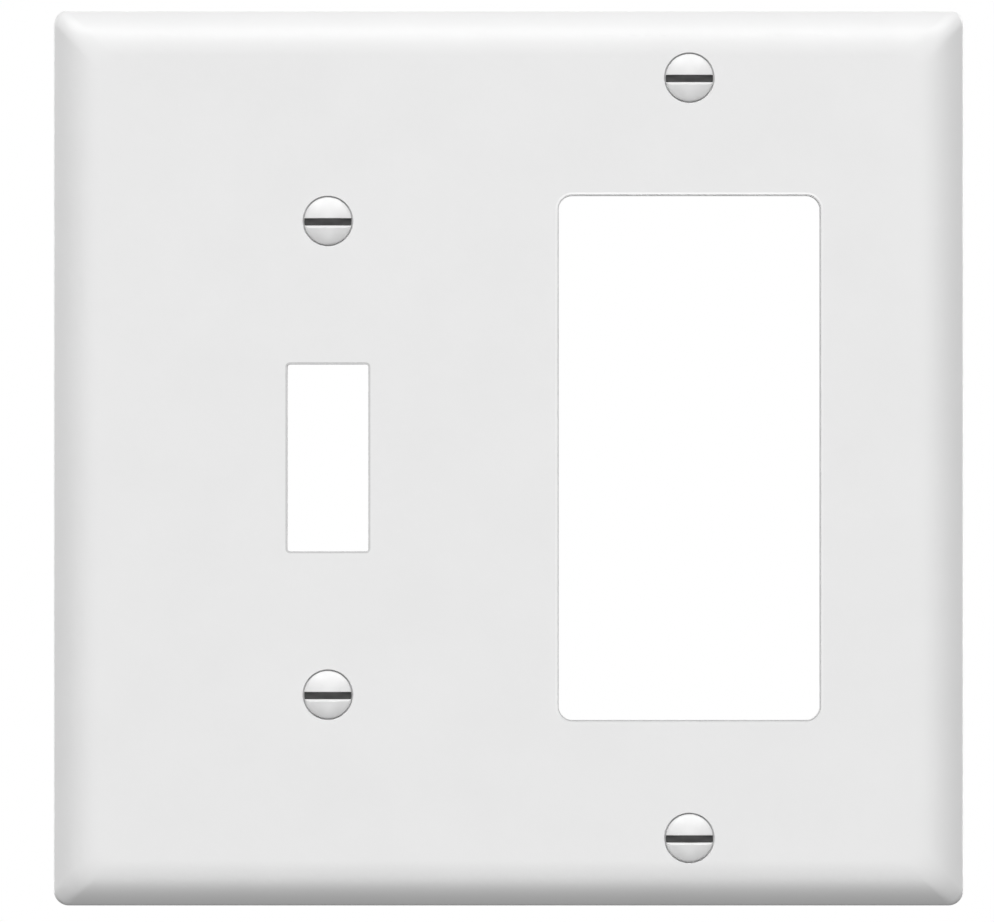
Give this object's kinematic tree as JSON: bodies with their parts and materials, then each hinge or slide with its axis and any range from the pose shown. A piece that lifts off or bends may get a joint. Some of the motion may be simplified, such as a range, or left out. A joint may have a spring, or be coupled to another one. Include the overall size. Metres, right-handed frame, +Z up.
{
  "type": "two-gang combination wall plate",
  "caption": "White moulded wall plate with a toggle opening beside a decorator opening, rolled edges and slotted oval-head screws.",
  "frame": {"origin": "centre of the wall plane: the point midway between the two gangs, on the rear face of the plate's centre rib, which is flush with the rim that rests on the wall", "axes": "+X along the plate's width, from the toggle gang towards the decorator gang; +Y into the wall, along the screws; +Z up"},
  "size_m": [0.116, 0.0135, 0.1142],
  "materials": {
    "white_plastic": "smooth moulded white plastic with a soft satin gloss",
    "painted_screw": "steel screw with a white painted head and a dark slot"
  },
  "bodies": {
    "plate": {"wall_plate": "white_plastic"},
    "toggle_upper_screw": {"toggle_upper_screw": "painted_screw"},
    "toggle_lower_screw": {"toggle_lower_screw": "painted_screw"},
    "decorator_upper_screw": {"decorator_upper_screw": "painted_screw"},
    "decorator_lower_screw": {"decorator_lower_screw": "painted_screw"}
  },
  "joints": [
    {"name": "toggle_upper_screw_turn", "type": "hinge", "parent": "plate", "child": "toggle_upper_screw", "pos_m": [-0.02302, -0.0056, 0.03017], "axis": [0, 1, 0], "continuous": true},
    {"name": "toggle_lower_screw_turn", "type": "hinge", "parent": "plate", "child": "toggle_lower_screw", "pos_m": [-0.02302, -0.0056, -0.03017], "axis": [0, 1, 0], "continuous": true},
    {"name": "decorator_upper_screw_turn", "type": "hinge", "parent": "plate", "child": "decorator_upper_screw", "pos_m": [0.02302, -0.0056, 0.04842], "axis": [0, 1, 0], "continuous": true},
    {"name": "decorator_lower_screw_turn", "type": "hinge", "parent": "plate", "child": "decorator_lower_screw", "pos_m": [0.02302, -0.0056, -0.04842], "axis": [0, 1, 0], "continuous": true}
  ]
}
